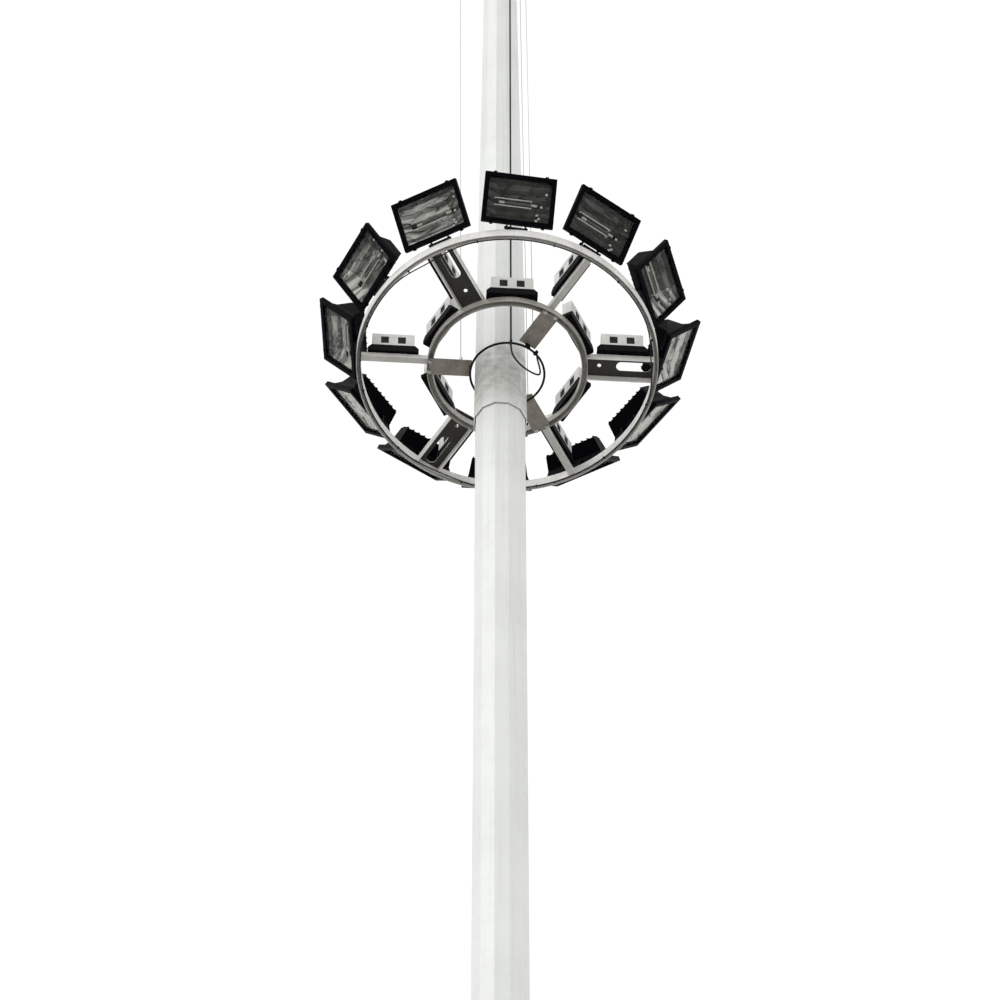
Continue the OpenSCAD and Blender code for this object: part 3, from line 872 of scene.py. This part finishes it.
@dataclass
class Carriage:
    """Rings, spokes, guide arms and guide hoop that ride up and down the shaft."""

    floods: int = 12
    ring_width: float = 0.036
    stirrup_plate: float = 0.006
    arm_bolt_gap: float = 0.090
    pin: tuple[float, float] = (0.018, 0.044)
    pin_rise: float = 0.023
    loop_start: float = -88.0
    loop_end: float = -45.0
    loop_drop: float = 0.380
    loop_out: float = 0.030
    loop_thick: float = CABLE_THICK
    wire_thick: float = 0.010
    wire_points: int = 96
    wire_overlap: float = 1.04
    wire_sway: float = 0.026
    wire_sag: float = 0.013
    slack_stretches: int = 3
    slack_turn: float = 1.9
    slack_power: int = 6
    wire_clip: tuple[float, float, float] = (0.020, 0.010, 0.014)
    clip_edge: float = 0.002

    @property
    def place(self) -> Matrix:
        """Move from the carriage's own axes, at the middle of its outer ring, to the tower's."""
        return Matrix.Translation(RING.middle)

    def dress(self) -> None:
        """Give the carriage's solids their finishes."""
        paint(["outer_ring", "tube_spokes"], CARRIAGE_PAINT)
        paint(["mid_ring"], MIDDLE_PAINT)
        paint(["channel_spokes"], CHANNEL_PAINT)
        paint(["guide_arms"], AGED_ZINC, round_mm=1.5)
        paint(["guide_hoop", "stirrups"], BLACK_ENAMEL)
        paint(["rope_lugs"], PLATED_STEEL)

    def fasteners(self) -> Object:
        """Build the bolts of the stirrups and guide arms and the pins of the rope lugs.

        Returns:
            One piece with them all.
        """
        bm = bmesh.new()
        top = RING.size.z / 2 + self.stirrup_plate
        ring_radius = (RING.size.x - self.ring_width) / 2
        for i in range(self.floods):
            turn = self.place @ Matrix.Rotation(math.tau * i / self.floods, 4, "Z")
            STIRRUP_BOLT.drive(bm, turn @ Matrix.Translation((ring_radius, 0, top)))
        under = Extent.of("guide_arms").low.z - RING.middle.z
        eye = Extent.of("rope_lugs").low.z - RING.middle.z + self.pin_rise
        for angle in ARM_ANGLES:
            turn = self.place @ Matrix.Rotation(math.radians(angle), 4, "Z")
            for side in SIDES:
                spot = Matrix.Translation((MID_RADIUS, side * self.arm_bolt_gap / 2, under))
                ARM_BOLT.drive(bm, turn @ spot @ FLIPPED)
            rod(bm, turn @ Matrix.Translation((ROPE_RADIUS, 0, eye)) @ ALONG_Y, *self.pin)
        made = rebuilt("carriage_fasteners", bm, [PLATED_STEEL])
        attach(made, Body.CARRIAGE.value)
        return made

    def wiring(self) -> Object:
        """Clip the lamps' wiring under the inner edge of the outer ring, slack at three stretches of it.

        Returns:
            The wiring with its clips.
        """
        bm = bmesh.new()
        radius = RING.size.x / 2 - self.ring_width + self.wire_thick / 2
        below = -(RING.size.z + self.wire_thick) / 2
        points: list[Vector] = []
        for k in range(self.wire_points):
            angle = math.tau * k / self.wire_points
            wave = math.sin(self.slack_stretches * angle + self.slack_turn)
            slack = max(0.0, wave) ** self.slack_power
            reach = radius - self.wire_sway * slack
            drop = below - self.wire_sag * slack
            points.append(Vector((reach * math.cos(angle), reach * math.sin(angle), drop)))
        for k, here in enumerate(points):
            there = points[(k + 1) % self.wire_points]
            turn = (there - here).to_track_quat("Z", "Y").to_matrix().to_4x4()
            spot = self.place @ Matrix.Translation((here + there) / 2) @ turn
            rod(bm, spot, self.wire_thick, (there - here).length * self.wire_overlap, sides=8)
        for k in range(self.floods):
            turn = self.place @ Matrix.Rotation(math.tau * (k + 0.5) / self.floods, 4, "Z")
            block(bm, turn @ Matrix.Translation((radius, 0, below)), self.wire_clip, self.clip_edge)
        made = rebuilt("ring_wiring", bm, [CABLE_RUBBER], smooth=True)
        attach(made, Body.CARRIAGE.value)
        return made

    def loop(self) -> Object:
        """Build the slack loop of supply cable under the guide hoop.

        Returns:
            The cable.
        """
        run = Extent.of("supply_cable").middle - RING.middle
        radius = math.hypot(run.x, run.y)
        top = Extent.of("cable_loop").high.z - RING.middle.z
        points: list[Vector] = []
        for turn, swing, depth in LOOP_ROUTE:
            angle = math.radians(self.loop_start + (self.loop_end - self.loop_start) * turn)
            out = radius + self.loop_out * swing
            spot = Vector((out * math.cos(angle), out * math.sin(angle), top - self.loop_drop * depth))
            points.append(self.place @ spot)
        curve = bpy.data.curves.new("cable_slack_loop", "CURVE")
        curve.dimensions = "3D"
        spline = curve.splines.new("POLY")
        spline.points.add(len(points) - 1)
        for point, place in zip(spline.points, points):
            point.co = (*place, 1.0)
        curve.bevel_depth = self.loop_thick / 2
        curve.bevel_resolution = 3
        curve.use_fill_caps = True
        curve.materials.append(CABLE_RUBBER.material())
        made = bpy.data.objects.new("cable_slack_loop", curve)
        bpy.context.scene.collection.objects.link(made)
        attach(made, Body.CARRIAGE.value)
        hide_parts("cable_loop")
        return made


@dataclass
class ControlGear:
    """Trays and boxes of control gear on the spokes and on the middle ring."""

    spoke_radius: float = 0.887
    channel_top: float = 0.025
    channel_aside: float = 0.090
    tube_top: float = 0.005
    mid_top: float = -0.045
    tray_height: float = 0.084
    box: tuple[float, float, float] = (0.330, 0.084, 0.170)
    pocket: tuple[float, float, float] = (0.062, 0.012, 0.095)
    pocket_aside: float = 0.066
    pocket_gap: tuple[float, float, float] = (0.002, 0.003, 0.002)
    screw_inset: tuple[float, float] = (0.014, 0.012)

    def places(self) -> list[Matrix]:
        """List where the trays stand.

        Returns:
            The place of each tray's foot, its length along X.
        """
        found: list[Matrix] = []
        start = Matrix.Translation(RING.middle)
        on_channel = Matrix.Translation((self.spoke_radius, -self.channel_aside, self.channel_top))
        on_tube = Matrix.Translation((self.spoke_radius, 0, self.tube_top))
        across = Matrix.Rotation(math.pi / 2, 4, "Z")
        on_ring = Matrix.Translation((MID_RADIUS, 0, self.mid_top)) @ across
        spokes = [(angle, on_tube if angle % 120 else on_channel) for angle in range(0, 360, 60)]
        for angle, spot in spokes + [(angle, on_ring) for angle in range(30, 360, 60)]:
            found.append(start @ Matrix.Rotation(math.radians(angle), 4, "Z") @ spot)
        return found

    def dress(self) -> None:
        """Give the trays and boxes their finishes."""
        paint(["gear_trays"], GEAR_BLACK, round_mm=2.0)
        paint(["gear_boxes"], GEAR_WHITE, round_mm=2.5)

    def inserts(self) -> Object:
        """Build dark plates in the boxes' pockets, as painted shade in them, and the screws of the boxes'
        lids.

        Returns:
            One piece with them all.
        """
        bm = bmesh.new()
        long, deep, high = self.box
        plate = [side - gap for side, gap in zip(self.pocket, self.pocket_gap)]
        for place in self.places():
            foot = place @ Matrix.Translation((0, 0, self.tray_height))
            for end, side in product(SIDES, SIDES):
                y = side * (deep / 2 - self.pocket[1] + plate[1] / 2)
                block(bm, foot @ Matrix.Translation((end * self.pocket_aside, y, high / 2)), plate, SOFT_EDGE)
        plates = set(bm.faces)
        for place in self.places():
            lid = place @ Matrix.Translation((0, 0, self.tray_height + high))
            for end, side in product(SIDES, SIDES):
                x, y = end * (long / 2 - self.screw_inset[0]), side * (deep / 2 - self.screw_inset[1])
                LID_SCREW.drive(bm, lid @ Matrix.Translation((x, y, 0)))
        mark(bm, plates, 1)
        made = rebuilt("gear_inserts", bm, [POCKET_SHADE, PLATED_STEEL])
        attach(made, Body.CARRIAGE.value)
        return made


@dataclass
class Floodlight:
    """One tilting floodlight: its cast housing, its folded reflector, its lamp and its glass."""

    number: int
    # The painted reflection on the reflector: the brightness of its trough and each end's share of it
    bright: float
    ends: tuple[float, float]
    tilt: float = 38.0
    centre: float = 0.218
    face_x: float = 0.060
    rim: tuple[float, float, float] = (0.024, 0.243, 0.169)
    folds: tuple[tuple[float, float], ...] = (
        (0.006, 0.138),
        (-0.020, 0.104),
        (-0.044, 0.070),
        (-0.060, 0.036),
        (-0.066, 0.012),
    )
    trough: tuple[float, float] = (-0.155, 0.130)
    # Each strip's share of the painted reflection
    shades: tuple[float, ...] = (0.4, 1.5, 0.6, 1.8, 0.9, 0.35, 1.7, 1.0, 1.8, 0.5, 1.2)
    pane: tuple[float, float, float] = (0.005, 0.4934, 0.3454)
    lip: float = 0.012
    springs: tuple[float, ...] = (-0.030, 0.027)
    spring_x: float = -0.020
    spring_y: tuple[float, float] = (-0.182, 0.102)
    spring_thick: float = 0.009
    # Small tabs on the far end panel, near white as painted glints
    tabs: tuple[tuple[float, float], ...] = (
        (0.210, 0.085),
        (0.180, -0.010),
        (0.152, -0.080),
        (0.165, -0.118),
        (0.145, -0.140),
    )
    tab: tuple[float, float, float] = (0.008, 0.018, 0.016)
    sheet_step: float = 0.7
    lamp_x: float = -0.035
    lamp: tuple[float, float] = (0.022, 0.210)
    lamp_end: tuple[float, float] = (0.020, 0.042)

    @property
    def place(self) -> Matrix:
        """Turn and move from the floodlight's own axes, on its pivots, to the tower's."""
        hinge = next(j for j in frame["joints"] if j["child"] == self.body)
        return (
            Matrix.Translation(hinge["pos_m"])
            @ Vector(hinge["axis"]).to_track_quat("Y", "Z").to_matrix().to_4x4()
            @ Matrix.Rotation(math.radians(self.tilt), 4, "Y")
        )

    @property
    def body(self) -> str:
        """Name of the body that this floodlight rides on."""
        return Body.floodlight(self.number)

    def dress(self) -> None:
        """Give the housing its finish."""
        paint([f"housing_{self.number:02d}"], BLACK_CAST, round_mm=1.5)

    def sheet_x(self, y: float, z: float) -> float:
        """Find how far forward the reflector lies at a place on it.

        Args:
            y: place along the lamp.
            z: place across the lamp, from its axis.

        Returns:
            The place along the floodlight's own X axis, in metres.
        """
        deep, half, rise = self.rim
        edges = [(deep, rise), *self.folds, (self.folds[-1][0], 0.0)]
        pairs = zip(edges, edges[1:])
        (x0, z0), (x1, z1) = next(p for p in pairs if p[1][1] <= abs(z) <= p[0][1])
        x = x0 + (x1 - x0) * (z0 - abs(z)) / (z0 - z1)
        end = self.trough[0] if y < 0 else self.trough[1]
        past = max(0.0, (abs(y) - abs(end)) / (half - abs(end)))
        return x + (deep - x) * past

    def fold(self, bm: BMesh) -> None:
        """Fold a flat sheet into the reflector: strips along it, and a slanted panel at each end.

        Args:
            bm: the mesh that takes it, in the floodlight's own axes.
        """
        deep, half, rise = self.rim
        upper = [(deep, rise), *self.folds]
        rows = upper + [(x, -z) for x, z in reversed(upper)]
        across = (-half, *self.trough, half)
        columns, strips = len(across) - 1, len(rows) - 1
        made = bmesh.ops.create_grid(bm, x_segments=columns, y_segments=strips, size=0.5)["verts"]
        flat = bm.loops.layers.uv.new("sheet")
        tone = bm.faces.layers.float.new("tone")
        spread = {v: (round((v.co.x + 0.5) * columns), round((v.co.y + 0.5) * strips)) for v in made}
        for v, (column, row) in spread.items():
            x, z = rows[row]
            v.co = (deep if column in (0, columns) else x, across[column], self.centre + z)
        for face in bm.faces:
            touched = [spread[v][0] for v in face.verts]
            row = min(spread[v][1] for v in face.verts)
            # Each face's tone is the brightness of its painted reflection
            share = self.ends[0] if 0 in touched else self.ends[1] if columns in touched else 1.0
            face[tone] = self.bright * share * self.shades[row % len(self.shades)]
            for corner in face.loops:
                corner[flat].uv = (corner.vert.co.y + self.sheet_step * self.number, corner.vert.co.z)

    def reflector(self) -> Object:
        """Build the reflector with its lamp, the two springs that hold the sheet and the tabs on its far end;
        the springs and tabs are near white, as painted highlights.

        Returns:
            The reflector, held in the housing.
        """
        bm = bmesh.new()
        self.fold(bm)
        along = Matrix.Translation((self.lamp_x, 0, self.centre)) @ ALONG_Y
        done = set(bm.faces)
        rod(bm, along, *self.lamp)
        mark(bm, done, 1)
        done = set(bm.faces)
        for side in SIDES:
            aside = side * (self.lamp[1] + self.lamp_end[1]) / 2
            rod(bm, along @ Matrix.Translation((0, 0, aside)), *self.lamp_end)
        mark(bm, done, 2)
        done = set(bm.faces)
        left, right = self.spring_y
        for z in self.springs:
            spot = Matrix.Translation((self.spring_x, (left + right) / 2, self.centre + z))
            rod(bm, spot @ ALONG_Y, self.spring_thick, right - left, sides=8)
            for y in self.spring_y:
                back = self.sheet_x(y, z)
                spot = Matrix.Translation(((self.spring_x + back) / 2, y, self.centre + z))
                rod(bm, spot @ ALONG_X, self.spring_thick, self.spring_x - back, sides=8)
        for y, z in self.tabs:
            spot = Matrix.Translation((self.sheet_x(y, z) + self.tab[0] / 2, y, self.centre + z))
            block(bm, spot, self.tab, SOFT_EDGE)
        mark(bm, done, 3)
        bmesh.ops.transform(bm, matrix=self.place, verts=bm.verts)
        made = rebuilt(f"reflector_{self.number:02d}", bm, [REFLECTOR, LAMP_GLASS, CERAMIC, SPRING_HIGHLIGHT])
        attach(made, self.body)
        return made

    def glass(self) -> Object:
        """Cut the front glass with ground edges.

        Returns:
            The pane.
        """
        bm = bmesh.new()
        middle = Matrix.Translation((self.face_x - self.lip - self.pane[0] / 2, 0, self.centre))
        block(bm, self.place @ middle, self.pane, SOFT_EDGE)
        made = rebuilt(f"pane_{self.number:02d}", bm, [PANE])
        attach(made, self.body)
        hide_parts(f"lens_{self.number:02d}")
        return made


# How much sky and pale ground each reflector mirrors, from floodlight 1 on: the tone of its
# trough, and how far each end is brighter or darker than that
# These tones are painted into the reflectors' colour as painted reflections
MIRRORED = (
    (1.1, (1.3, 0.8)),
    (2.2, (1.2, 0.9)),
    (0.7, (1.5, 0.5)),
    (0.7, (1.5, 0.5)),
    (0.7, (1.5, 0.5)),
    (2.2, (1.2, 0.9)),
    (0.32, (1.8, 0.45)),
    (0.28, (2.2, 0.35)),
    (0.4, (1.1, 0.5)),
    (0.045, (1.3, 0.9)),
    (0.065, (1.0, 0.3)),
    (0.1, (1.0, 4.0)),
)


@dataclass
class Studio:
    """Floor, light and camera."""

    floor_size: float = 500.0
    distance: float = 45.0
    heading: float = 3.5
    climb: float = 57.8
    pixels_per_metre: float = 129.0
    ring_pixel: tuple[float, float] = (507.5, 362.2)
    image: int = 1000
    floor_colour: str = "C9C9C8"
    sky: float = 1.05
    sun: float = 0.9
    sun_wide: float = 40.0
    sun_turn: tuple[float, float, float] = (48.0, 0.0, -52.0)

    def floor(self) -> Object:
        """Lay a pale floor that lets the eye through from below.

        Returns:
            The floor.
        """
        bm = bmesh.new()
        bmesh.ops.create_grid(bm, x_segments=1, y_segments=1, size=self.floor_size)
        mesh = bpy.data.meshes.new("floor")
        bm.to_mesh(mesh)
        bm.free()
        skin = bpy.data.materials.new("floor_pale")
        skin.use_nodes = True
        tree = skin.node_tree
        tree.nodes.clear()
        back = add(tree, "NewGeometry").outputs["Backfacing"]
        pale = add(tree, "BsdfDiffuse", {"Color": linear(self.floor_colour)})
        clear = add(tree, "BsdfTransparent")
        both = add(tree, "MixShader", {0: back, 1: pale.outputs[0], 2: clear.outputs[0]})
        add(tree, "OutputMaterial", {"Surface": both.outputs[0]})
        mesh.materials.append(skin)
        made = bpy.data.objects.new("floor", mesh)
        bpy.context.scene.collection.objects.link(made)
        return made

    def light(self) -> None:
        """Hang a white sky and one broad soft sun."""
        world = bpy.data.worlds.new("studio")
        bpy.context.scene.world = world
        world.use_nodes = True
        sky = world.node_tree.nodes["Background"].inputs
        sky["Color"].default_value = (1, 1, 1, 1)
        sky["Strength"].default_value = self.sky
        sun = bpy.data.lights.new("soft_sun", "SUN")
        sun.energy = self.sun
        sun.angle = math.radians(self.sun_wide)
        lamp = bpy.data.objects.new("soft_sun", sun)
        lamp.rotation_euler = [math.radians(turn) for turn in self.sun_turn]
        bpy.context.scene.collection.objects.link(lamp)

    def camera(self) -> Object:
        """Set the camera under the carriage, far off, as in the photograph.

        Returns:
            The camera.
        """
        e, h = math.radians(self.climb), math.radians(self.heading)
        ahead = Vector((math.sin(h) * math.cos(e), math.cos(h) * math.cos(e), math.sin(e)))
        focal = self.pixels_per_metre * self.distance
        data = bpy.data.cameras.new("camera")
        data.sensor_width = 36.0
        data.lens = focal * data.sensor_width / self.image
        data.clip_start, data.clip_end = 0.5, 1000.0
        made = bpy.data.objects.new("camera", data)
        made.location = RING.middle - ahead * self.distance
        right = ahead.cross(Vector((0, 0, 1))).normalized()
        up = right.cross(ahead)
        dx = (self.ring_pixel[0] - self.image / 2) / focal
        dy = (self.image / 2 - self.ring_pixel[1]) / focal
        look = (ahead - right * dx - up * dy).normalized()
        right = look.cross(Vector((0, 0, 1))).normalized()
        up = right.cross(look)
        made.rotation_euler = Matrix((right, up, -look)).transposed().to_euler()
        bpy.context.scene.collection.objects.link(made)
        bpy.context.scene.camera = made
        return made


def main() -> None:
    """Build the tower's looks in order."""
    logging.basicConfig(level=logging.INFO, format="%(message)s")
    studio = Studio()
    studio.camera()
    carriage = Carriage()
    carriage.loop()
    carriage.dress()
    carriage.fasteners()
    carriage.wiring()
    mast = Mast()
    mast.dress()
    mast.ropes()
    mast.cable()
    mast.fasteners()
    gear = ControlGear()
    gear.dress()
    gear.inserts()
    for number, (bright, ends) in enumerate(MIRRORED, start=1):
        light = Floodlight(number, bright, ends)
        light.dress()
        light.reflector()
        light.glass()
    studio.floor()
    studio.light()
    bpy.context.scene.view_settings.view_transform = "Standard"


if __name__ == "__main__":
    main()
